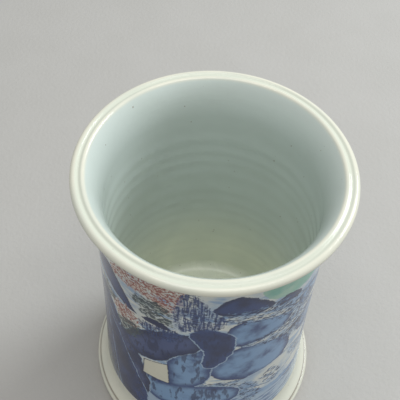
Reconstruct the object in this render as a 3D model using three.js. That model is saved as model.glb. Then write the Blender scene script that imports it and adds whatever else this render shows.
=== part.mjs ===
// A porcelain brush pot: a waisted, wheel-thrown cylinder with an everted lip and a spreading foot.
// Millimetres, +Z up. The origin is the centre of the circle that the foot stands on.
//
// A fired pot is one piece of porcelain. It is made here from the four sections that a potter
// makes and lutes together with slip before the glaze and the firing: the foot ring, the base
// disc that is seated inside it, the wall that stands on both, and the lip ring on top.
// Luted faces meet exactly, because they take their sizes and places from the same values.

import * as THREE from "three";

// Driving dimensions
const POT_HEIGHT = 146;

const WALL_TOP_RADIUS = 47.1; // outside, where the lip's flare starts
const WALL_WAIST_RADIUS = 46.6; // outside, half way up
const WALL_BOTTOM_RADIUS = 48.2; // outside, where the foot's flare starts
const WALL_THICKNESS = 4.2;

const LIP_RADIUS = 54; // the outermost edge
const LIP_EDGE_THICKNESS = 3.7; // height of the rounded outer edge
const LIP_EDGE_ROUNDING = 1.9; // how far the rounded edge reaches inwards
const LIP_UNDERSIDE_SLOPE = 70; // degrees from the vertical, where the flare meets the edge
const LIP_FLARE_HEIGHT = 14; // from the top down to the start of the flare outside
const LIP_CHANNEL_WIDTH = 2.6; // shallow channel along the top, between two ridges
const LIP_CHANNEL_DEPTH = 0.45;
const LIP_INNER_ROUNDING = 1.6;
const LIP_SECTION_HEIGHT = 8; // the lip ring's own height, down to its luted joint
const MOUTH_FLARE_HEIGHT = 18; // from the top down to the start of the flare inside
const MOUTH_SLOPE = 45; // degrees from the vertical, where the mouth meets the inner ridge

const FOOT_RADIUS = 54; // the outermost edge
const FOOT_SECTION_HEIGHT = 17; // the foot ring's own height, up to its luted joint
const FOOT_FLARE_SLOPE = 50; // degrees from the vertical, where the flare meets the groove
const FOOT_BEAD_HEIGHT = 6.8; // top of the rounded bead round the foot's edge
const FOOT_BEAD_DEPTH = 1.3; // how far the bead stands out
const FOOT_GROOVE_RADIUS = 0.35; // turned line between the bead and the flare
const FOOT_BEVEL_HEIGHT = 2.2; // unglazed bevel under the bead
const FOOT_BEVEL_WIDTH = 2.4;
const FOOT_CONTACT_WIDTH = 9; // flat, unglazed ring that the pot stands on
const FOOT_INNER_BEVEL = 0.8;

const RECESS_DEPTH = 5.5; // hollow under the base, inside the foot ring
const FLOOR_THICKNESS = 7;
const BASE_SEAT_WIDTH = 1.5; // how far the base disc reaches under the wall
const LUTED_CLEARANCE = 0; // sections are luted face to face

// Steps of the curves
const TURN_SEGMENTS = 60;
const FLARE_STEPS = 6;
const ROUNDING_STEPS = 5;
const WALL_STEPS = 8;

// Heights and radii that follow from the driving dimensions
const LIP_JOINT = POT_HEIGHT - LIP_SECTION_HEIGHT;
const LIP_FLARE_START = POT_HEIGHT - LIP_FLARE_HEIGHT;
const MOUTH_FLARE_START = POT_HEIGHT - MOUTH_FLARE_HEIGHT;
const FOOT_JOINT = FOOT_SECTION_HEIGHT;
const FLOOR_TOP = RECESS_DEPTH + FLOOR_THICKNESS;
const FLOOR_FILLET = FOOT_JOINT - FLOOR_TOP;
const BORE_BOTTOM_RADIUS = WALL_BOTTOM_RADIUS - WALL_THICKNESS;
const BASE_DISC_RADIUS = BORE_BOTTOM_RADIUS + BASE_SEAT_WIDTH;
const BASE_SEAT_RADIUS = BASE_DISC_RADIUS + LUTED_CLEARANCE;
const CONTACT_OUTER_RADIUS = FOOT_RADIUS - FOOT_BEVEL_WIDTH;
const CONTACT_INNER_RADIUS = CONTACT_OUTER_RADIUS - FOOT_CONTACT_WIDTH;
const RECESS_RADIUS = CONTACT_INNER_RADIUS - FOOT_INNER_BEVEL;

const radians = THREE.MathUtils.degToRad;
const point = (radius, height) => new THREE.Vector2(radius, height);

// Outside radius of the waisted wall: a parabola through its three radii.
function wallRadius(height) {
  const t = (height - FOOT_JOINT) / (LIP_FLARE_START - FOOT_JOINT);
  return (
    WALL_BOTTOM_RADIUS * (1 - t) * (1 - 2 * t) +
    4 * WALL_WAIST_RADIUS * t * (1 - t) +
    WALL_TOP_RADIUS * t * (2 * t - 1)
  );
}

const boreRadius = (height) => wallRadius(height) - WALL_THICKNESS;

// A stretch of an ellipse that leaves its start vertically and spreads outwards, up or down,
// to reach its end at a slope, given in degrees from the vertical.
function makeFlare(start, end, slope) {
  const rise = end.y - start.y;
  const reach = end.x - start.x;
  const sweep = Math.acos(1 / ((Math.tan(radians(slope)) * Math.abs(rise)) / reach - 1));
  const halfWidth = reach / (1 - Math.cos(sweep));
  const halfHeight = rise / Math.sin(sweep);
  const angleAt = (height) => Math.asin((height - start.y) / halfHeight);
  return function between(fromHeight, toHeight) {
    const from = angleAt(fromHeight);
    const to = angleAt(toHeight);
    return steps(FLARE_STEPS, (s) => {
      const angle = from + (to - from) * s;
      return point(
        start.x + halfWidth * (1 - Math.cos(angle)),
        start.y + halfHeight * Math.sin(angle),
      );
    });
  };
}

// The values of a function at evenly spaced shares from 0 to 1.
function steps(count, valueAt) {
  return Array.from({ length: count + 1 }, (_, i) => valueAt(i / count));
}

// Points on part of an ellipse, with its angles in degrees from the outward direction.
function arc(centre, halfWidth, halfHeight, fromAngle, toAngle) {
  return steps(ROUNDING_STEPS, (s) => {
    const angle = radians(fromAngle + (toAngle - fromAngle) * s);
    return point(
      centre.x + halfWidth * Math.cos(angle),
      centre.y + halfHeight * Math.sin(angle),
    );
  });
}

// The curves that more than one section shares
const lipEdgeCentre = point(
  LIP_RADIUS - LIP_EDGE_ROUNDING,
  POT_HEIGHT - LIP_EDGE_THICKNESS / 2,
);
const innerRidgeCentre = point(
  lipEdgeCentre.x - LIP_CHANNEL_WIDTH,
  POT_HEIGHT - LIP_INNER_ROUNDING,
);
const innerRidge = arc(
  innerRidgeCentre,
  LIP_INNER_ROUNDING,
  LIP_INNER_ROUNDING,
  90,
  90 + MOUTH_SLOPE,
);
const lipUnderside = makeFlare(
  point(wallRadius(LIP_FLARE_START), LIP_FLARE_START),
  point(lipEdgeCentre.x, POT_HEIGHT - LIP_EDGE_THICKNESS),
  LIP_UNDERSIDE_SLOPE,
);
const mouth = makeFlare(
  point(boreRadius(MOUTH_FLARE_START), MOUTH_FLARE_START),
  innerRidge.at(-1),
  MOUTH_SLOPE,
);

// The lip ring: up the underside of the flare, round the edge, along the channel between the
// two ridges, and down the mouth to the luted joint.
function lipProfile() {
  const channel = steps(ROUNDING_STEPS, (s) =>
    point(
      lipEdgeCentre.x - LIP_CHANNEL_WIDTH * s,
      POT_HEIGHT - LIP_CHANNEL_DEPTH * Math.sin(Math.PI * s) ** 2,
    ),
  );
  return [
    ...lipUnderside(LIP_JOINT, POT_HEIGHT - LIP_EDGE_THICKNESS),
    ...arc(lipEdgeCentre, LIP_EDGE_ROUNDING, LIP_EDGE_THICKNESS / 2, -90, 90),
    ...channel,
    ...innerRidge,
    ...mouth(innerRidge.at(-1).y, LIP_JOINT),
  ];
}

// The wall: up the waisted outside into the start of the lip's flare, and down the bore.
function wallProfile() {
  const outside = steps(WALL_STEPS, (s) => {
    const height = FOOT_JOINT + (LIP_FLARE_START - FOOT_JOINT) * s;
    return point(wallRadius(height), height);
  });
  const bore = steps(WALL_STEPS, (s) => {
    const height = MOUTH_FLARE_START + (FOOT_JOINT - MOUTH_FLARE_START) * s;
    return point(boreRadius(height), height);
  });
  return [
    ...outside,
    ...lipUnderside(LIP_FLARE_START, LIP_JOINT),
    ...mouth(LIP_JOINT, MOUTH_FLARE_START),
    ...bore,
  ];
}

// The base disc: a flat underside, and a floor that curves up into the bore.
function baseProfile() {
  const filletCentre = point(BORE_BOTTOM_RADIUS - FLOOR_FILLET, FOOT_JOINT);
  return [
    point(0, RECESS_DEPTH),
    point(BASE_DISC_RADIUS, RECESS_DEPTH),
    point(BASE_DISC_RADIUS, FOOT_JOINT),
    ...arc(filletCentre, FLOOR_FILLET, FLOOR_FILLET, 0, -90),
    point(0, FLOOR_TOP),
  ];
}

// The foot ring: out along the contact face, up the bevel, the bead, the turned line and the
// flare, and down the seat of the base disc and the inside of the recess.
function footProfile() {
  const beadCentre = point(
    FOOT_RADIUS - FOOT_BEAD_DEPTH,
    (FOOT_BEVEL_HEIGHT + FOOT_BEAD_HEIGHT) / 2,
  );
  const beadHalfHeight = (FOOT_BEAD_HEIGHT - FOOT_BEVEL_HEIGHT) / 2;
  const groove = arc(
    point(beadCentre.x, FOOT_BEAD_HEIGHT + FOOT_GROOVE_RADIUS),
    FOOT_GROOVE_RADIUS,
    FOOT_GROOVE_RADIUS,
    270,
    180,
  );
  const flareEnd = point(groove.at(-1).x, FOOT_BEAD_HEIGHT + 2 * FOOT_GROOVE_RADIUS);
  const footFlare = makeFlare(
    point(WALL_BOTTOM_RADIUS, FOOT_JOINT),
    flareEnd,
    FOOT_FLARE_SLOPE,
  );
  return [
    point(CONTACT_INNER_RADIUS, 0),
    point(CONTACT_OUTER_RADIUS, 0),
    ...arc(beadCentre, FOOT_BEAD_DEPTH, beadHalfHeight, -90, 90),
    ...groove,
    ...footFlare(flareEnd.y, FOOT_JOINT),
    point(BASE_SEAT_RADIUS, FOOT_JOINT),
    point(BASE_SEAT_RADIUS, RECESS_DEPTH),
    point(RECESS_RADIUS, RECESS_DEPTH),
    point(RECESS_RADIUS, FOOT_INNER_BEVEL),
  ];
}

// A profile that touches the axis at both ends stays open there; any other one is closed.
function turn(profile) {
  const distinct = profile.filter(
    (p, i) => i === 0 || p.distanceTo(profile[i - 1]) > 1e-6,
  );
  const onAxis = distinct[0].x === 0 && distinct.at(-1).x === 0;
  const outline = onAxis ? distinct : [...distinct, distinct[0].clone()];
  const geometry = new THREE.LatheGeometry(outline, TURN_SEGMENTS);
  geometry.rotateX(Math.PI / 2);
  return geometry;
}

const whiteGlaze = new THREE.MeshStandardMaterial({
  color: 0xdfe2d8,
  roughness: 0.12,
  metalness: 0,
});
const paintedGlaze = new THREE.MeshStandardMaterial({
  color: 0x8f9db3,
  roughness: 0.12,
  metalness: 0,
});
const footGlaze = new THREE.MeshStandardMaterial({
  color: 0xd6dcd8,
  roughness: 0.14,
  metalness: 0,
});

const brushPot = new THREE.Group();

function addSection(name, profile, material) {
  const section = new THREE.Mesh(turn(profile), material);
  section.name = name;
  brushPot.add(section);
}

addSection("foot_ring", footProfile(), footGlaze);
addSection("base_disc", baseProfile(), whiteGlaze);
addSection("wall_cylinder", wallProfile(), paintedGlaze);
addSection("lip_ring", lipProfile(), whiteGlaze);

export default brushPot;
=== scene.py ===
"""A porcelain brush pot with a painted landscape under a clear glaze, dressed for rendering.

Lengths in this file are millimetres and angles are degrees, unless a name says otherwise.
The painting is laid out on the wall by angle and height: angle 0 faces the camera (-Y), and
angles grow to the right.
"""

import math

import bpy
import numpy as np
from mathutils import Matrix, Vector


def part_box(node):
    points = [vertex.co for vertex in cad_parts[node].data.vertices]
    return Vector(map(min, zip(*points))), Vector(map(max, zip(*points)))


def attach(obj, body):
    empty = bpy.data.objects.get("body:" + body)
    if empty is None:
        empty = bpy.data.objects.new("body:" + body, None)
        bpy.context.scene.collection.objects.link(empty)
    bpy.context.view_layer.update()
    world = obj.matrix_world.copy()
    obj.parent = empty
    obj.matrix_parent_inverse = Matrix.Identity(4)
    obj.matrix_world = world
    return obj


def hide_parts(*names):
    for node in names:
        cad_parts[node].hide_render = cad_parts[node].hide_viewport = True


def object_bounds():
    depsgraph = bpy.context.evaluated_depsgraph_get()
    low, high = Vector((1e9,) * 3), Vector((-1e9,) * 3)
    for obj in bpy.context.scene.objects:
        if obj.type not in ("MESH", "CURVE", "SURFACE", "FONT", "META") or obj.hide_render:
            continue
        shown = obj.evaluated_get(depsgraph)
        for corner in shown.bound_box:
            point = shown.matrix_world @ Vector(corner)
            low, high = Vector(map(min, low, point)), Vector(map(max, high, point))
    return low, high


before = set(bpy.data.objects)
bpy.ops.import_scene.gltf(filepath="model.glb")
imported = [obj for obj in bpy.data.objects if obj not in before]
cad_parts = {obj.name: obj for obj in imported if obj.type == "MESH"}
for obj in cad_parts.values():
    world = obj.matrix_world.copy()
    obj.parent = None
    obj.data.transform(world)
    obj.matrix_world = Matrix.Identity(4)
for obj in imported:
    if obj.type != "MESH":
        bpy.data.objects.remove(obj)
cad_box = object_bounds()

MM = 0.001

# The frame gives the overall sizes; the rest are the pot's own, as they were thrown.
POT_HEIGHT = cad_box[1][2] / MM
LIP_RADIUS = cad_box[1][0] / MM
FOOT_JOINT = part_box("wall_cylinder")[0][2] / MM
LIP_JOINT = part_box("lip_ring")[0][2] / MM
RECESS_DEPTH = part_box("base_disc")[0][2] / MM
BASE_DISC_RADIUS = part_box("base_disc")[1][0] / MM

WALL_TOP_RADIUS = 47.1
WALL_WAIST_RADIUS = 46.6
WALL_BOTTOM_RADIUS = 48.2
WALL_THICKNESS = 4.2
LIP_FLARE_HEIGHT = 14
LIP_EDGE_THICKNESS = 3.7
LIP_EDGE_ROUNDING = 1.9
LIP_UNDERSIDE_SLOPE = 70
LIP_CHANNEL_WIDTH = 2.6
LIP_CHANNEL_DEPTH = 0.45
LIP_INNER_ROUNDING = 1.6
MOUTH_FLARE_HEIGHT = 18
MOUTH_SLOPE = 45
FOOT_FLARE_SLOPE = 50
FOOT_BEAD_HEIGHT = 6.8
FOOT_BEAD_DEPTH = 1.3
FOOT_GROOVE_RADIUS = 0.35
FOOT_BEVEL_HEIGHT = 2.2
FOOT_BEVEL_WIDTH = 2.4
FOOT_CONTACT_WIDTH = 9
FOOT_INNER_BEVEL = 0.8
FLOOR_THICKNESS = 7
FOOT_LINE_RISE = 0.9

LIP_FLARE_START = POT_HEIGHT - LIP_FLARE_HEIGHT
MOUTH_FLARE_START = POT_HEIGHT - MOUTH_FLARE_HEIGHT
FLOOR_TOP = RECESS_DEPTH + FLOOR_THICKNESS
FLOOR_FILLET = FOOT_JOINT - FLOOR_TOP
FOOT_LINE_HEIGHT = FOOT_JOINT + FOOT_LINE_RISE

# Fine steps of the turned surfaces, and how sharp an edge and how close two points may be
TURN_SEGMENTS = 400
OUTSIDE_STEPS = 150
BORE_STEPS = 64
FLARE_STEPS = 10
ROUNDING_STEPS = 10
SHARP_ANGLE = 50
SAME_SPOT = 1e-6

# Finger marks that throwing left inside the bore: rings that wander, with finer ones among them
RING_PITCH = 8.5
RING_RELIEF = 0.11
RING_FADE = 12
RING_WANDER = 1.3
WANDER_RATE = 0.23
WANDER_START = 1
FINE_RING_SHARE = 0.5
FINE_RING_RATE = 2.3
FINE_RING_START = 0.7

# The painting's scale, and how far from a shape's edge its depth is measured
DEGREE_LENGTH = math.radians(1) * WALL_WAIST_RADIUS
REACH = 7

# The painter's hand: how far edges waver, how wide lines are, and how large the marks are that
# break washes up
EDGE_WAVER = 0.7
EDGE_WAVER_SIZE = 5
STROKE_WAVER = 1.6
STROKE_WAVER_SIZE = 2.2
CLOUD_SIZE = 14
GRAIN_SIZE = 1.1
WASH_BLUR = 0.2
OUTLINE_CORE = 0.15
OUTLINE_EDGE = 0.45
FOOT_LINE_CORE = 0.15
FOOT_LINE_EDGE = 0.4
BORDER_BLUR = 0.1
TOP_BORDER_BLUR = 1.5

# The glaze: sizes of its patches, dimples and specks, and where it ends above the bare foot
GLAZE_IOR = 1.46
TONE_PATCH = 26
GLOSS_PATCH = 9
DIMPLE_SIZE = 5
DIMPLE_DEPTH = 0.04
SPECK_SIZE = 1.5
GLAZE_END_HEIGHT = 2
GLAZE_END_BLUR = 0.4
GLAZE_END_WAVER = 0.7
GLAZE_END_WAVER_SIZE = 4
FOOT_DIMPLE_SIZE = 3
FOOT_DIMPLE_DEPTH = 0.05
# How far from the groove's middle its painted shade is full, and where it fades out
GROOVE_SHADE_CORE = 0.2
GROOVE_SHADE_EDGE = 0.6
# Heights above the foot joint over which painted light whitens the bore towards the floor
FLOOR_LIGHT_START = 6
FLOOR_LIGHT_END = 60

# Ranges that most and nearly all of a noise's values lie in, and the roughness of its detail
NOISE_RANGE = (0.3, 0.7)
WIDE_NOISE_RANGE = (0.2, 0.8)
NOISE_ROUGHNESS = 0.55

# The camera that matches the photograph
FRAME_SIZE = 400
FOCAL_PIXELS = 744.8
SENSOR_WIDTH = 36
CAMERA_PLACE = (-5.14, -179.64, 355.81)
CAMERA_DOWNTILT = 51.97
CAMERA_ROLL = 2.833

# The floor and the light; each lamp has its place, size, watts and tint
FLOOR_HALF_SIZE = 3000
CLOTH_PATCH = 40
CLOTH_GRAIN = 2.5
CLOTH_RELIEF = 0.3
WORLD_TINT = (0.97, 0.99, 1, 1)
WORLD_STRENGTH = 0.4
LAMP_TARGET = (0, 0, 100)
LAMPS = {
    "window": ((800, 500, 900), 600, 9.5, (0.93, 0.98, 1)),
    "ceiling": ((50, -150, 1200), 900, 5.5, (1, 0.985, 0.95)),
}


# Colours, in the 0 to 255 values that a screen shows


def colour(red, green, blue):
    """A shader's linear colour, by the sRGB formula."""
    def linear(value):
        share = value / 255
        return share / 12.92 if share <= 0.04045 else ((share + 0.055) / 1.055) ** 2.4

    return (linear(red), linear(green), linear(blue), 1)


WHITE_GLAZE = colour(228, 226, 210)
BORE_GLAZE = colour(207, 217, 212)
# Whiter glaze on the floor and low in the bore: painted light where light through the mouth falls
LIT_FLOOR_GLAZE = colour(238, 241, 224)
GREY_GLAZE = colour(196, 206, 198)
POOLED_GLAZE = colour(212, 217, 203)
IRON_SPECK = colour(120, 96, 70)
BARE_CLAY = colour(196, 168, 140)
# Dark colour painted into the foot's groove as shade
GROOVE_SHADE = colour(112, 96, 82)
PAPER = colour(222, 225, 218)
WASH_BLUE = colour(126, 162, 202)
PALE_BLUE = colour(164, 188, 212)
MID_BLUE = colour(70, 100, 154)
DEEP_BLUE = colour(42, 66, 120)
INK_BLUE = colour(27, 42, 84)
ROCK_PURPLE = colour(70, 86, 132)
IRON_RED = colour(150, 78, 68)
ORANGE_RED = colour(196, 134, 106)
LEAF_GREEN = colour(92, 118, 106)
LEAF_INK = colour(52, 66, 76)
TURQUOISE = colour(120, 186, 160)
PALE_TURQUOISE = colour(150, 196, 176)
HOUSE_WALL = colour(230, 227, 208)
HOUSE_EDGE = colour(222, 220, 202)
FLOOR_CLOTH = colour(184, 182, 178)
PALE_CLOTH = colour(192, 190, 187)


# Turned profiles: lists of (radius, height)


def steps(count, value_at):
    return [value_at(i / count) for i in range(count + 1)]


def wall_radius(height):
    """The wall's outside: a parabola through its radii at the bottom, waist and top."""
    t = (height - FOOT_JOINT) / (LIP_FLARE_START - FOOT_JOINT)
    return (
        WALL_BOTTOM_RADIUS * (1 - t) * (1 - 2 * t)
        + 4 * WALL_WAIST_RADIUS * t * (1 - t)
        + WALL_TOP_RADIUS * t * (2 * t - 1)
    )


def ring_relief(height):
    """Shallow finger rings, uneven in pitch, fading out at the floor and the mouth."""
    above_floor = min(1, (height - FOOT_JOINT) / RING_FADE)
    below_mouth = min(1, (MOUTH_FLARE_START - height) / RING_FADE)
    turns = 2 * math.pi * height / RING_PITCH
    wander = RING_WANDER * math.sin(WANDER_RATE * turns + WANDER_START)
    fine = FINE_RING_SHARE * math.sin(FINE_RING_RATE * turns + FINE_RING_START)
    return RING_RELIEF * above_floor * below_mouth * (math.sin(turns + wander) + fine)


def make_flare(start, end, slope):
    """Part of an ellipse, upright at its start, that reaches its end at a slope.

    The function that it returns gives the points between two heights.
    """
    reach = end[0] - start[0]
    rise = end[1] - start[1]
    sweep = math.acos(1 / (math.tan(math.radians(slope)) * abs(rise) / reach - 1))
    half_width = reach / (1 - math.cos(sweep))
    half_height = rise / math.sin(sweep)

    def between(from_height, to_height):
        first = math.asin((from_height - start[1]) / half_height)
        last = math.asin((to_height - start[1]) / half_height)

        def at(share):
            angle = first + (last - first) * share
            return (
                start[0] + half_width * (1 - math.cos(angle)),
                start[1] + half_height * math.sin(angle),
            )

        return steps(FLARE_STEPS, at)

    return between


def arc(centre, half_width, half_height, first, last):
    """Part of an ellipse about a centre, from its first angle to its last."""
    def at(share):
        angle = math.radians(first + (last - first) * share)
        return (
            centre[0] + half_width * math.cos(angle),
            centre[1] + half_height * math.sin(angle),
        )

    return steps(ROUNDING_STEPS, at)


LIP_EDGE_CENTRE = (LIP_RADIUS - LIP_EDGE_ROUNDING, POT_HEIGHT - LIP_EDGE_THICKNESS / 2)
INNER_RIDGE = arc(
    (LIP_EDGE_CENTRE[0] - LIP_CHANNEL_WIDTH, POT_HEIGHT - LIP_INNER_ROUNDING),
    LIP_INNER_ROUNDING,
    LIP_INNER_ROUNDING,
    90,
    90 + MOUTH_SLOPE,
)
lip_underside = make_flare(
    (wall_radius(LIP_FLARE_START), LIP_FLARE_START),
    (LIP_EDGE_CENTRE[0], POT_HEIGHT - LIP_EDGE_THICKNESS),
    LIP_UNDERSIDE_SLOPE,
)
mouth = make_flare(
    (wall_radius(MOUTH_FLARE_START) - WALL_THICKNESS, MOUTH_FLARE_START),
    INNER_RIDGE[-1],
    MOUTH_SLOPE,
)


def lip_profile():
    channel = steps(
        ROUNDING_STEPS,
        lambda s: (
            LIP_EDGE_CENTRE[0] - LIP_CHANNEL_WIDTH * s,
            POT_HEIGHT - LIP_CHANNEL_DEPTH * math.sin(math.pi * s) ** 2,
        ),
    )
    return [
        *lip_underside(LIP_JOINT, POT_HEIGHT - LIP_EDGE_THICKNESS),
        *arc(LIP_EDGE_CENTRE, LIP_EDGE_ROUNDING, LIP_EDGE_THICKNESS / 2, -90, 90),
        *channel,
        *INNER_RIDGE,
        *mouth(INNER_RIDGE[-1][1], LIP_JOINT),
    ]


def wall_profile():
    def outside(share):
        height = FOOT_JOINT + (LIP_FLARE_START - FOOT_JOINT) * share
        return (wall_radius(height), height)

    def bore(share):
        height = MOUTH_FLARE_START + (FOOT_JOINT - MOUTH_FLARE_START) * share
        return (wall_radius(height) - WALL_THICKNESS + ring_relief(height), height)

    return [
        *steps(OUTSIDE_STEPS, outside),
        *lip_underside(LIP_FLARE_START, LIP_JOINT),
        *mouth(LIP_JOINT, MOUTH_FLARE_START),
        *steps(BORE_STEPS, bore),
    ]


def base_profile():
    bore_radius = WALL_BOTTOM_RADIUS - WALL_THICKNESS
    fillet = arc((bore_radius - FLOOR_FILLET, FOOT_JOINT), FLOOR_FILLET, FLOOR_FILLET, 0, -90)
    return [
        (0, RECESS_DEPTH),
        (BASE_DISC_RADIUS, RECESS_DEPTH),
        (BASE_DISC_RADIUS, FOOT_JOINT),
        *fillet,
        *steps(ROUNDING_STEPS, lambda s: (fillet[-1][0] * (1 - s), FLOOR_TOP)),
    ]


def foot_profile():
    contact_outer = LIP_RADIUS - FOOT_BEVEL_WIDTH
    contact_inner = contact_outer - FOOT_CONTACT_WIDTH
    recess = contact_inner - FOOT_INNER_BEVEL
    bead_centre = (LIP_RADIUS - FOOT_BEAD_DEPTH, (FOOT_BEVEL_HEIGHT + FOOT_BEAD_HEIGHT) / 2)
    bead_half_height = (FOOT_BEAD_HEIGHT - FOOT_BEVEL_HEIGHT) / 2
    groove = arc(
        (bead_centre[0], FOOT_BEAD_HEIGHT + FOOT_GROOVE_RADIUS),
        FOOT_GROOVE_RADIUS,
        FOOT_GROOVE_RADIUS,
        270,
        180,
    )
    flare_end = (groove[-1][0], FOOT_BEAD_HEIGHT + 2 * FOOT_GROOVE_RADIUS)
    flare = make_flare((WALL_BOTTOM_RADIUS, FOOT_JOINT), flare_end, FOOT_FLARE_SLOPE)
    return [
        (contact_inner, 0),
        (contact_outer, 0),
        *arc(bead_centre, FOOT_BEAD_DEPTH, bead_half_height, -90, 90),
        *groove,
        *flare(flare_end[1], FOOT_JOINT),
        (BASE_DISC_RADIUS, FOOT_JOINT),
        (BASE_DISC_RADIUS, RECESS_DEPTH),
        (recess, RECESS_DEPTH),
        (recess, FOOT_INNER_BEVEL),
    ]


def without_repeats(profile):
    outline = [profile[0]]
    for spot in profile[1:]:
        if math.dist(spot, outline[-1]) > SAME_SPOT:
            outline.append(spot)
    return outline


def ring_of_points(radius, height):
    """A ring of points about the axis, in metres, or the one point on it."""
    if radius == 0:
        return [(0, 0, height * MM)]
    points = []
    for i in range(TURN_SEGMENTS):
        angle = 2 * math.pi * i / TURN_SEGMENTS
        points.append((radius * MM * math.cos(angle), radius * MM * math.sin(angle), height * MM))
    return points


def faces_between(low, high):
    """The faces that join two rows of point numbers: triangles where a row is one point."""
    faces = []
    for i in range(TURN_SEGMENTS):
        j = (i + 1) % TURN_SEGMENTS
        corners = [low[i], low[j], high[j], high[i]]
        faces.append(list(dict.fromkeys(corners)))
    return faces


def turn(name, profile, node):
    """Turns a profile into one closed, smooth mesh that stands for a node of the frame."""
    points = []
    rows = []
    for radius, height in without_repeats(profile):
        ring = ring_of_points(radius, height)
        rows.append([len(points) + i % len(ring) for i in range(TURN_SEGMENTS)])
        points.extend(ring)
    starts_on_axis = profile[0][0] == 0
    if not starts_on_axis:
        rows.append(rows[0])
    faces = []
    for low, high in zip(rows, rows[1:]):
        faces.extend(faces_between(low, high))
    mesh = bpy.data.meshes.new(name)
    mesh.from_pydata(points, [], faces)
    mesh.shade_smooth()
    mesh.set_sharp_from_angle(angle=math.radians(SHARP_ANGLE))
    mesh.validate()
    piece = bpy.data.objects.new(name, mesh)
    bpy.context.scene.collection.objects.link(piece)
    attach(piece, "root")
    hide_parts(node)
    return piece


# The painting's layout: closed shapes by (angle, height)


def hill(angle, base, half_width, rise, lean=0.0):
    """A rounded hill that stands on a base line."""
    return [
        (angle - half_width, base),
        (angle - 0.8 * half_width, base + 0.45 * rise),
        (angle + (lean - 0.4) * half_width, base + 0.9 * rise),
        (angle + lean * half_width, base + rise),
        (angle + (0.45 + 0.6 * lean) * half_width, base + 0.8 * rise),
        (angle + 0.9 * half_width, base + 0.35 * rise),
        (angle + half_width, base),
        (angle, base - 0.14 * rise),
    ]


def ridge(base, crest):
    """A range of hills along its crest of peaks and saddles, closed along its base line."""
    return [(crest[0][0], base), *crest, (crest[-1][0], base)]


def roof(angle, eaves, half_width, rise):
    """The dark hipped roof of a small pavilion, with lifted corners."""
    lift = 0.4
    sag = 0.3
    return [
        (angle - half_width, eaves + lift),
        (angle - 0.45 * half_width, eaves + rise),
        (angle + 0.45 * half_width, eaves + rise),
        (angle + half_width, eaves + lift),
        (angle + 0.7 * half_width, eaves - sag),
        (angle - 0.7 * half_width, eaves - sag),
    ]


def boat(angle, height):
    """A small boat seen from its side, with a raised stern and bow."""
    half_length = 5
    stern_rise = 1.6
    deck_rise = 0.9
    bow_rise = 1.8
    return [
        (angle - half_length, height + stern_rise),
        (angle - 0.4 * half_length, height + deck_rise),
        (angle + 0.4 * half_length, height + deck_rise),
        (angle + half_length, height + bow_rise),
        (angle + 0.5 * half_length, height),
        (angle - 0.5 * half_length, height),
    ]


FAR_HILLS = [
    [(1, 121), (6, 127), (12, 131), (19, 129), (26, 123), (34, 117), (20, 116), (7, 118)],
    [(-66, 118), (-55, 121), (-47, 114), (-40, 104), (-34, 100), (-46, 101), (-58, 105), (-70, 109)],
    [(31, 117), (38, 120), (46, 117), (50, 112), (40, 112), (34, 114)],
    ridge(110, [(76, 112), (84, 118), (92, 125), (100, 119), (109, 113)]),
    ridge(108, [(150, 110), (158, 118), (166, 126), (174, 121), (184, 129), (193, 121), (206, 110)]),
    ridge(112, [(236, 113), (244, 122), (252, 127), (260, 120), (270, 113)]),
]
TURQUOISE_SLOPES = [
    [(22, 132), (36, 133), (52, 128), (62, 119), (46, 116), (35, 119), (27, 124)],
    ridge(109, [(106, 111), (117, 120), (128, 117), (138, 110)]),
    ridge(107, [(206, 109), (216, 119), (226, 116), (236, 109)]),
]
MIDDLE_HILLS = [
    [(9, 103), (13, 109), (23, 112), (34, 110), (43, 104), (45, 97), (34, 93), (18, 91), (11, 95)],
    [(50, 106), (58, 110), (70, 106), (74, 98), (62, 96), (52, 99)],
    ridge(84, [(76, 90), (86, 103), (95, 99), (104, 107), (114, 97), (124, 87)]),
    ridge(83, [(128, 88), (138, 101), (148, 107), (158, 97), (166, 102), (176, 94), (184, 86)]),
    ridge(83, [(188, 88), (200, 99), (212, 108), (222, 100), (232, 105), (242, 92), (248, 86)]),
    ridge(88, [(254, 92), (264, 104), (274, 109), (284, 99), (292, 92)]),
]
NEAR_HILLS = [
    [(6, 80), (12, 88), (26, 90), (42, 85), (48, 76), (46, 65), (32, 60), (16, 62), (2, 69)],
    [(54, 84), (62, 90), (76, 88), (80, 76), (68, 70), (56, 74)],
    ridge(56, [(66, 62), (78, 74), (88, 85), (98, 78), (108, 66), (116, 59)]),
    ridge(54, [(102, 60), (116, 74), (128, 84), (138, 76), (148, 64), (154, 57)]),
    ridge(52, [(184, 58), (197, 70), (210, 83), (222, 87), (234, 76), (246, 66), (256, 56)]),
]
SHORES = [
    [(6, 117), (18, 117), (34, 112), (50, 103), (48, 99), (32, 107), (16, 111), (8, 113)],
    [(14, 91), (30, 92), (46, 95), (62, 89), (52, 79), (40, 85), (24, 89)],
    [(2, 59), (20, 60), (44, 65), (62, 62), (66, 54), (52, 48), (40, 43), (30, 47), (22, 55),
     (6, 56)],
    [(76, 88), (96, 92), (124, 91), (146, 86), (128, 81), (100, 83), (84, 80)],
    [(144, 108), (176, 111), (208, 107), (196, 101), (166, 103)],
    [(70, 58), (96, 61), (130, 59), (162, 52), (140, 45), (108, 46), (84, 48)],
    [(176, 54), (204, 60), (236, 59), (258, 50), (236, 43), (200, 44)],
    [(184, 88), (206, 92), (240, 91), (258, 85), (236, 80), (204, 82)],
]
DARK_ROCKS = [
    [(-48, 74), (-40, 84), (-30, 92), (-16, 99), (-5, 100), (-2, 94), (-6, 88), (-14, 84),
     (-21, 75), (-30, 69), (-42, 68)],
    [(-78, 100), (-64, 94), (-53, 84), (-46, 74), (-37, 66), (-34, 53), (-30, 44), (-34, 26),
     (-44, 14), (-78, 14), (-90, 30), (-90, 80)],
    ridge(13, [(136, 20), (144, 42), (151, 54), (156, 74), (166, 79), (176, 64), (186, 46), (195, 18)]),
    ridge(13, [(234, 20), (243, 46), (250, 54), (256, 80), (264, 86), (270, 74), (278, 70)]),
]
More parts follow.
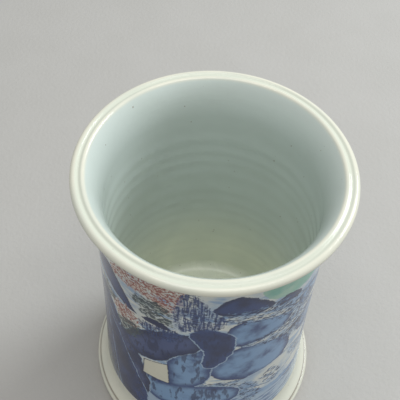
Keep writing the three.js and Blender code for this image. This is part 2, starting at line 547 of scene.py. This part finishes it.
FRONT_ROCKS = [
    [(-8, 101), (-2, 107), (6, 106), (13, 101), (14, 92), (11, 84), (5, 76), (-1, 76), (1, 88),
     (-4, 96)],
    [(-64, 76), (-55, 72), (-45, 58), (-38, 44), (-30, 30), (-38, 15), (-52, 15), (-58, 42)],
    [(-66, 98), (-58, 92), (-50, 80), (-52, 76), (-62, 84), (-72, 88)],
    ridge(13, [(130, 16), (138, 36), (146, 52), (154, 44), (160, 32), (168, 15)]),
    ridge(13, [(262, 16), (272, 40), (282, 60), (291, 50), (298, 34), (304, 15)]),
]
BLUE_ROCKS = [
    [(-14, 82), (-8, 89), (-3, 90), (0, 80), (2, 68), (-2, 59), (-13, 55), (-18, 56), (-18, 71)],
    [(-34, 54), (-18, 53), (0, 56), (14, 55), (20, 48), (10, 40), (-20, 34), (-34, 40)],
    ridge(16, [(180, 22), (189, 42), (198, 50), (206, 38), (214, 18)]),
]
HOUSES = [
    [(-33, 66), (-19, 71), (-18, 54), (-34, 53)],
    [(206, 66), (218, 69), (219, 57), (206, 56)],
    [(104, 66), (113, 66), (113, 59), (104, 59)],
]
ROOFS = [
    roof(-25, 101, 8, 3.4),
    roof(52, 83, 6, 3),
    roof(108.5, 66, 7, 4),
    roof(212, 68.5, 9, 4),
    boat(56, 34),
    boat(128, 33),
    boat(226, 30),
]
RED_FOLIAGE = [
    [(-56, 121), (-46, 129), (-30, 133), (-9, 134), (-11, 126), (-17, 114), (-22, 112),
     (-24, 119), (-36, 119), (-46, 117)],
    [(-55, 96), (-45, 101), (-34, 98), (-36, 88), (-46, 85), (-55, 89)],
    hill(174, 84, 14, 15),
    hill(272, 104, 14, 14),
    hill(100, 98, 10, 10),
]
GREEN_FOLIAGE = [
    [(-42, 111), (-34, 118), (-22, 119), (-15, 114), (-22, 110), (-33, 109)],
    [(-36, 107), (-26, 111), (-15, 109), (-17, 103), (-29, 103)],
    [(-50, 86), (-42, 91), (-33, 93), (-35, 82), (-44, 76), (-53, 80)],
    [(-66, 104), (-56, 102), (-50, 98), (-56, 92), (-66, 96)],
    hill(196, 92, 11, 11),
    hill(128, 82, 10, 10),
]
PINES = [
    [(-16, 122), (-11, 133), (-5, 133), (-1, 125), (6, 118), (10, 112), (6, 106), (-4, 105),
     (-14, 102), (-17, 110)],
    [(-36, 98), (-26, 101), (-15, 102), (-9, 98), (-18, 91), (-33, 91)],
    hill(112, 80, 12, 18),
    hill(226, 84, 12, 16),
    hill(158, 70, 12, 18),
]
GRASSES = [
    [(4, 119), (20, 119), (36, 118), (54, 111), (68, 98), (58, 92), (42, 99), (26, 108), (8, 111)],
    [(12, 93), (30, 94), (48, 98), (68, 93), (60, 74), (44, 78), (40, 84), (26, 88)],
    [(-6, 61), (8, 61), (22, 60), (20, 55), (-4, 55)],
    [(18, 54), (24, 59), (31, 49), (33, 37), (25, 34), (20, 45)],
    [(31, 57), (40, 59), (48, 50), (44, 42), (34, 46)],
    [(50, 62), (62, 62), (66, 52), (56, 50)],
    hill(100, 52, 12, 8),
    hill(206, 48, 14, 9),
    hill(84, 102, 14, 8),
    hill(240, 104, 14, 8),
]
WATER = [
    [(-40, 53), (0, 55), (24, 50), (36, 40), (70, 40), (90, 34), (90, 13), (-40, 13)],
    [(88, 44), (150, 42), (230, 40), (320, 44), (320, 13), (88, 13)],
]


def rounded(shape, rounds):
    """Cuts the corners of a closed shape until they are soft."""
    spots = np.array(shape, dtype=float)
    for _ in range(rounds):
        following = np.roll(spots, -1, axis=0)
        spots = np.stack([0.75 * spots + 0.25 * following, 0.25 * spots + 0.75 * following], 1)
        spots = spots.reshape(-1, 2)
    return spots


def depth_inside(shape, angle, height, rounds):
    """Distance from a shape's edge in millimetres, positive inside, limited to REACH."""
    spots = rounded(shape, rounds)
    middle = spots[:, 0].mean()
    across = ((angle - middle + 180) % 360 - 180) * DEGREE_LENGTH
    corners = np.stack([(spots[:, 0] - middle) * DEGREE_LENGTH, spots[:, 1]], 1)
    depth = np.full(angle.shape, -REACH, dtype=float)
    low = corners.min(0) - REACH
    high = corners.max(0) + REACH
    near = (across > low[0]) & (across < high[0]) & (height > low[1]) & (height < high[1])
    x = across[near]
    y = height[near]
    closest = np.full(x.shape, REACH, dtype=float)
    inside = np.zeros(x.shape, dtype=bool)
    for start, end in zip(corners, np.roll(corners, -1, axis=0)):
        run = end - start
        share = ((x - start[0]) * run[0] + (y - start[1]) * run[1]) / (run @ run)
        share = np.clip(share, 0, 1)
        gap = np.hypot(x - start[0] - share * run[0], y - start[1] - share * run[1])
        closest = np.minimum(closest, gap)
        if run[1]:
            crosses = (start[1] > y) != (end[1] > y)
            inside ^= crosses & (x < start[0] + (y - start[1]) * run[0] / run[1])
    depth[near] = np.where(inside, closest, -closest)
    return depth


def lay_out(piece, layers):
    """Stores each layer's depth on the piece's points, where its material reads it."""
    mesh = piece.data
    spots = np.empty(len(mesh.vertices) * 3)
    mesh.vertices.foreach_get("co", spots)
    x, y, z = spots.reshape(-1, 3).T / MM
    angle = np.degrees(np.arctan2(x, -y))
    outside = np.hypot(x, y) > WALL_WAIST_RADIUS - WALL_THICKNESS / 2
    for name, (shapes, rounds) in layers.items():
        depth = np.full(len(x), -REACH, dtype=float)
        for shape in shapes:
            depth = np.maximum(depth, depth_inside(shape, angle, z, rounds))
        depth[~outside] = -REACH
        mesh.attributes.new(name, "FLOAT", "POINT").data.foreach_set("value", depth)
    outer = mesh.attributes.new("outside", "FLOAT", "POINT")
    outer.data.foreach_set("value", outside.astype(float))


# Each layer's shapes, and how many times their corners are cut
LAYERS = {
    "far_hills": (FAR_HILLS, 2),
    "turquoise": (TURQUOISE_SLOPES, 2),
    "middle_hills": (MIDDLE_HILLS, 2),
    "near_hills": (NEAR_HILLS, 2),
    "shores": (SHORES, 2),
    "dark_rocks": (DARK_ROCKS, 1),
    "front_rocks": (FRONT_ROCKS, 1),
    "blue_rocks": (BLUE_ROCKS, 1),
    "houses": (HOUSES, 0),
    "roofs": (ROOFS, 0),
    "red_foliage": (RED_FOLIAGE, 2),
    "green_foliage": (GREEN_FOLIAGE, 2),
    "pines": (PINES, 2),
    "grasses": (GRASSES, 2),
    "water": (WATER, 2),
}

# Layers drawn with a ruled edge, not a wavering one
RULED_LAYERS = ("houses", "roofs")


# Materials


class Shader:
    """Short names for the nodes that the glazes use. Sizes are in millimetres."""

    def __init__(self, name):
        self.material = bpy.data.materials.new(name)
        self.material.use_nodes = True
        self.tree = self.material.node_tree
        self.surface = self.tree.nodes["Principled BSDF"]
        place = self.tree.nodes.new("ShaderNodeTexCoord")
        self.place = self.scaled(place.outputs["Object"], (1 / MM, 1 / MM, 1 / MM))

    def link(self, value, socket):
        """Links a node's output to a socket, or sets a plain value on it."""
        if isinstance(value, bpy.types.NodeSocket):
            self.tree.links.new(value, socket)
        else:
            socket.default_value = value

    def scaled(self, vector, factors):
        node = self.tree.nodes.new("ShaderNodeVectorMath")
        node.operation = "MULTIPLY"
        self.link(vector, node.inputs[0])
        node.inputs[1].default_value = factors
        return node.outputs[0]

    def math(self, operation, a, b=0.0):
        node = self.tree.nodes.new("ShaderNodeMath")
        node.operation = operation
        self.link(a, node.inputs[0])
        self.link(b, node.inputs[1])
        return node.outputs[0]

    def distance(self, value, middle):
        """How far a value is from a middle, on either side of it."""
        return self.math("ABSOLUTE", self.math("SUBTRACT", value, middle))

    def noise(self, size, detail=3.0, across=1.0, up=1.0):
        """Noise whose features are about a size, drawn out across or up."""
        node = self.tree.nodes.new("ShaderNodeTexNoise")
        factors = (1 / (size * across), 1 / (size * across), 1 / (size * up))
        self.link(self.scaled(self.place, factors), node.inputs["Vector"])
        node.inputs["Scale"].default_value = 1
        node.inputs["Detail"].default_value = detail
        node.inputs["Roughness"].default_value = NOISE_ROUGHNESS
        return node.outputs[0]

    def waver(self, size, detail, reach):
        """A wandering length, up to a reach either way."""
        return self.ramp(self.noise(size, detail), *WIDE_NOISE_RANGE, -reach, reach)

    def attribute(self, name):
        node = self.tree.nodes.new("ShaderNodeAttribute")
        node.attribute_name = name
        return node.outputs["Fac"]

    def ramp(self, value, low, high, low_out=0.0, high_out=1.0):
        """Takes a value smoothly from one range to another, and holds it beyond the ends."""
        node = self.tree.nodes.new("ShaderNodeMapRange")
        node.interpolation_type = "SMOOTHSTEP"
        self.link(value, node.inputs["Value"])
        limits = ("From Min", low), ("From Max", high), ("To Min", low_out), ("To Max", high_out)
        for socket, limit in limits:
            node.inputs[socket].default_value = limit
        return node.outputs[0]

    def mix(self, share, under, over):
        node = self.tree.nodes.new("ShaderNodeMix")
        node.data_type = "RGBA"
        self.link(share, node.inputs["Factor"])
        self.link(under, node.inputs["A"])
        self.link(over, node.inputs["B"])
        return node.outputs["Result"]

    def height(self):
        node = self.tree.nodes.new("ShaderNodeSeparateXYZ")
        self.link(self.place, node.inputs[0])
        return node.outputs[2]

    def radius(self):
        node = self.tree.nodes.new("ShaderNodeVectorMath")
        node.operation = "LENGTH"
        self.link(self.scaled(self.place, (1, 1, 0)), node.inputs[0])
        return node.outputs["Value"]

    def bump(self, height, depth):
        node = self.tree.nodes.new("ShaderNodeBump")
        node.inputs["Distance"].default_value = depth * MM
        self.link(height, node.inputs["Height"])
        self.link(node.outputs[0], self.surface.inputs["Normal"])

    def finish(self, base, roughness):
        self.link(base, self.surface.inputs["Base Color"])
        self.link(roughness, self.surface.inputs["Roughness"])

    def finish_glazed(self, base, smoothest, roughest):
        """A clear glaze over a base colour, with patches of gloss and faint dimples."""
        roughness = self.ramp(self.noise(GLOSS_PATCH), *NOISE_RANGE, smoothest, roughest)
        self.finish(base, roughness)
        self.bump(self.noise(DIMPLE_SIZE, 2), DIMPLE_DEPTH)
        self.surface.inputs["IOR"].default_value = GLAZE_IOR


def specked(shader, base):
    """Glaze with a slow change of tone and a few small iron specks."""
    grey = shader.ramp(shader.noise(TONE_PATCH), 0.3, 0.75, 0, 0.35)
    specks = shader.ramp(shader.noise(SPECK_SIZE, 0), 0.862, 0.88, 0, 0.7)
    return shader.mix(specks, shader.mix(grey, base, GREY_GLAZE), IRON_SPECK)


def base_glaze():
    """White glaze, whiter on the floor as painted light, and less glossy there, where brushes stand."""
    shader = Shader("base_glaze")
    shader.finish_glazed(specked(shader, LIT_FLOOR_GLAZE), 0.2, 0.32)
    return shader.material


def lip_glaze():
    """White glaze, greener in the channel along the top and in the mouth inside the ridge."""
    shader = Shader("lip_glaze")
    radius = shader.radius()
    channel_middle = LIP_EDGE_CENTRE[0] - LIP_CHANNEL_WIDTH / 2
    off_middle = shader.distance(radius, channel_middle)
    pooled = shader.ramp(off_middle, 0.3 * LIP_CHANNEL_WIDTH, 0.6 * LIP_CHANNEL_WIDTH, 0.8, 0)
    mouth_edge = LIP_EDGE_CENTRE[0] - LIP_CHANNEL_WIDTH - LIP_INNER_ROUNDING
    past_mouth = shader.ramp(radius, mouth_edge - 0.2, mouth_edge + 0.9)
    glaze = specked(shader, shader.mix(past_mouth, BORE_GLAZE, WHITE_GLAZE))
    shader.finish_glazed(shader.mix(pooled, glaze, POOLED_GLAZE), 0.1, 0.2)
    return shader.material


def foot_glaze():
    """White glaze that stops in an uneven line above the bare bevel, with painted shade in the groove.
    """
    shader = Shader("foot_glaze")
    height = shader.height()
    groove_height = FOOT_BEAD_HEIGHT + FOOT_GROOVE_RADIUS
    # Painted shade: the groove under the foot's bead is darkened in colour
    groove_shade = shader.ramp(shader.distance(height, groove_height), GROOVE_SHADE_CORE, GROOVE_SHADE_EDGE, 0.75, 0)
    glaze = shader.mix(groove_shade, specked(shader, WHITE_GLAZE), GROOVE_SHADE)
    edge = shader.math("ADD", height, shader.waver(GLAZE_END_WAVER_SIZE, 3, GLAZE_END_WAVER))
    low = GLAZE_END_HEIGHT - GLAZE_END_BLUR
    high = GLAZE_END_HEIGHT + GLAZE_END_BLUR
    base = shader.mix(shader.ramp(edge, low, high, 1, 0), glaze, BARE_CLAY)
    shader.finish(base, shader.ramp(edge, low, high, 0.7, 0.14))
    shader.bump(shader.noise(FOOT_DIMPLE_SIZE, 2), FOOT_DIMPLE_DEPTH)
    shader.surface.inputs["IOR"].default_value = GLAZE_IOR
    return shader.material


class Painting(Shader):
    """A shader whose colour is built up layer by layer, as a painter would."""

    def __init__(self, name):
        super().__init__(name)
        self.edge_waver = self.waver(EDGE_WAVER_SIZE, 4, EDGE_WAVER)
        self.stroke_waver = self.waver(STROKE_WAVER_SIZE, 4, STROKE_WAVER)
        self.cloud = self.noise(CLOUD_SIZE, 4)
        self.grain = self.noise(GRAIN_SIZE)
        self.painted = PAPER

    def lay(self, share, over):
        self.painted = self.mix(share, self.painted, over)

    def wash(self, name, edge, heart, deep, outline=INK_BLUE, strength=1.0, spread=0.0):
        """Lays a graded wash, from its edge to its heart, with a broken outline."""
        inside = self.math("ADD", self.attribute(name), spread)
        if name not in RULED_LAYERS:
            inside = self.math("ADD", inside, self.edge_waver)
        cover = self.ramp(inside, -WASH_BLUR, WASH_BLUR, 0, strength)
        grade = self.math("MULTIPLY", self.ramp(inside, 0, deep), self.ramp(self.cloud, 0.32, 0.56))
        self.lay(cover, self.mix(grade, edge, heart))
        if outline:
            line = self.ramp(self.math("ABSOLUTE", inside), OUTLINE_CORE, OUTLINE_EDGE, 0.9, 0)
            broken = self.ramp(self.grain, 0.35, 0.5, 0.3, 1)
            self.lay(self.math("MULTIPLY", line, broken), outline)

    def strokes(self, name, ink, size, levels, across=1.0, up=1.0, strength=0.9):
        """Small separate brush marks, kept inside a shape."""
        mask = self.ramp(self.math("ADD", self.attribute(name), self.stroke_waver), -0.5, 0.8)
        marks = self.ramp(self.noise(size, 2, across, up), *levels)
        share = self.math("MULTIPLY", self.math("MULTIPLY", mask, marks), strength)
        self.lay(share, ink)


def paint_sky_and_water(painting):
    painting.lay(painting.ramp(painting.cloud, 0.42, 0.66, 0, 0.85), PALE_BLUE)
    streaks = painting.noise(9, 3, across=1.8, up=0.5)
    painting.lay(painting.ramp(streaks, 0.5, 0.66, 0, 0.8), WASH_BLUE)
    painting.wash("water", WASH_BLUE, PALE_BLUE, 7, outline=None, strength=0.85)
    painting.strokes("water", MID_BLUE, 4, (0.52, 0.62), across=2.6, up=0.5, strength=0.7)


def paint_hills(painting):
    painting.wash("turquoise", PALE_TURQUOISE, TURQUOISE, 3, outline=None, strength=0.85)
    painting.wash("far_hills", INK_BLUE, DEEP_BLUE, 3)
    painting.wash("middle_hills", DEEP_BLUE, WASH_BLUE, 4, spread=0.9)
    painting.wash("near_hills", DEEP_BLUE, WASH_BLUE, 5, spread=1.2)
    painting.wash("shores", PALE_BLUE, PAPER, 2, outline=DEEP_BLUE, strength=0.9)
    painting.strokes("grasses", WASH_BLUE, 4, (0.42, 0.56), across=1.5, up=0.6, strength=0.7)
    painting.strokes("grasses", INK_BLUE, 1.2, (0.5, 0.56), across=1.8, up=0.7)


def paint_rocks(painting):
    painting.wash("blue_rocks", DEEP_BLUE, WASH_BLUE, 5, outline=PALE_BLUE, spread=1.8)
    painting.wash("dark_rocks", INK_BLUE, ROCK_PURPLE, 6, outline=PALE_BLUE, spread=1.4)
    painting.wash("front_rocks", DEEP_BLUE, INK_BLUE, 5, outline=PALE_BLUE, spread=0.8)
    for name in ("dark_rocks", "front_rocks", "blue_rocks"):
        painting.strokes(name, INK_BLUE, 3, (0.52, 0.62), across=0.8, up=2.6, strength=0.7)


def paint_houses_and_trees(painting):
    painting.wash("houses", HOUSE_EDGE, HOUSE_WALL, 3)
    painting.strokes("red_foliage", PAPER, 5, (0.25, 0.5), strength=0.7)
    painting.strokes("red_foliage", ORANGE_RED, 4, (0.4, 0.6), strength=0.4)
    painting.strokes("red_foliage", IRON_RED, 1.0, (0.47, 0.53), across=1.2, up=0.8)
    painting.strokes("green_foliage", LEAF_GREEN, 4, (0.35, 0.6), strength=0.5)
    painting.strokes("green_foliage", LEAF_INK, 1.2, (0.42, 0.5), across=1.4, up=0.8)
    painting.strokes("pines", MID_BLUE, 4, (0.4, 0.6), strength=0.6)
    painting.strokes("pines", DEEP_BLUE, 0.9, (0.46, 0.52), across=0.8, up=7)
    painting.strokes("pines", INK_BLUE, 1.0, (0.52, 0.58), across=1.8, up=0.6)
    painting.wash("roofs", INK_BLUE, INK_BLUE, 5)


def leave_borders(painting, height):
    """Plain glaze below the foot line and above the painting, and the blue line itself."""
    low = FOOT_LINE_HEIGHT - BORDER_BLUR
    high = FOOT_LINE_HEIGHT + BORDER_BLUR
    painting.lay(painting.ramp(height, low, high, 1, 0), WHITE_GLAZE)
    off_line = painting.distance(height, FOOT_LINE_HEIGHT)
    painting.lay(painting.ramp(off_line, FOOT_LINE_CORE, FOOT_LINE_EDGE, 0.9, 0), DEEP_BLUE)
    above_painting = painting.ramp(height, LIP_FLARE_START, LIP_FLARE_START + TOP_BORDER_BLUR)
    painting.lay(above_painting, WHITE_GLAZE)


def painted_glaze():
    """The painting on the outside of the wall, and plain glaze inside, whiter near the floor as painted
    light.
    """
    painting = Painting("painted_glaze")
    height = painting.height()
    paint_sky_and_water(painting)
    paint_hills(painting)
    paint_rocks(painting)
    paint_houses_and_trees(painting)
    leave_borders(painting, height)
    # Painted light: the bore is whiter towards the floor, where light through the mouth falls
    light_start = FOOT_JOINT + FLOOR_LIGHT_START
    light_end = FOOT_JOINT + FLOOR_LIGHT_END
    lit_near_floor = painting.ramp(height, light_start, light_end, 1, 0)
    bore = specked(painting, painting.mix(lit_near_floor, BORE_GLAZE, LIT_FLOOR_GLAZE))
    base = painting.mix(painting.attribute("outside"), bore, painting.painted)
    painting.finish_glazed(base, 0.1, 0.18)
    return painting.material


def dress(piece, material):
    piece.data.materials.append(material)


def make_pot():
    dress(turn("glazed_foot", foot_profile(), "foot_ring"), foot_glaze())
    dress(turn("glazed_base", base_profile(), "base_disc"), base_glaze())
    wall = turn("painted_wall", wall_profile(), "wall_cylinder")
    lay_out(wall, LAYERS)
    dress(wall, painted_glaze())
    dress(turn("glazed_lip", lip_profile(), "lip_ring"), lip_glaze())


# The stage


def make_camera():
    tilt = math.radians(CAMERA_DOWNTILT)
    roll = math.radians(CAMERA_ROLL)
    data = bpy.data.cameras.new("photo_camera")
    data.sensor_width = SENSOR_WIDTH
    data.lens = FOCAL_PIXELS * SENSOR_WIDTH / FRAME_SIZE
    camera = bpy.data.objects.new("photo_camera", data)
    facing = Matrix.Rotation(math.pi / 2 - tilt, 4, "X") @ Matrix.Rotation(roll, 4, "Z")
    camera.matrix_world = Matrix.Translation([c * MM for c in CAMERA_PLACE]) @ facing
    bpy.context.scene.collection.objects.link(camera)
    bpy.context.scene.camera = camera


def make_floor():
    size = FLOOR_HALF_SIZE * MM
    mesh = bpy.data.meshes.new("floor")
    corners = [(-size, -size, 0), (size, -size, 0), (size, size, 0), (-size, size, 0)]
    mesh.from_pydata(corners, [], [(0, 1, 2, 3)])
    floor = bpy.data.objects.new("floor", mesh)
    bpy.context.scene.collection.objects.link(floor)
    shader = Shader("floor_cloth")
    pale = shader.ramp(shader.noise(CLOTH_PATCH), *NOISE_RANGE, 0, 0.3)
    shader.finish(shader.mix(pale, FLOOR_CLOTH, PALE_CLOTH), 0.9)
    shader.bump(shader.noise(CLOTH_GRAIN, 2), CLOTH_RELIEF)
    mesh.materials.append(shader.material)


def make_lamp(name, place, size, watts, tint):
    data = bpy.data.lights.new(name, "AREA")
    data.shape = "DISK"
    data.size = size * MM
    data.energy = watts
    data.color = tint
    lamp = bpy.data.objects.new(name, data)
    lamp.location = Vector(place) * MM
    aim = Vector(LAMP_TARGET) - Vector(place)
    lamp.rotation_euler = aim.to_track_quat("-Z", "Y").to_euler()
    bpy.context.scene.collection.objects.link(lamp)


def make_light():
    world = bpy.data.worlds.new("studio")
    world.use_nodes = True
    background = world.node_tree.nodes["Background"]
    background.inputs["Color"].default_value = WORLD_TINT
    background.inputs["Strength"].default_value = WORLD_STRENGTH
    bpy.context.scene.world = world
    for name, settings in LAMPS.items():
        make_lamp(name, *settings)


bpy.context.scene.view_settings.view_transform = "Standard"
make_camera()
make_floor()
make_light()
make_pot()
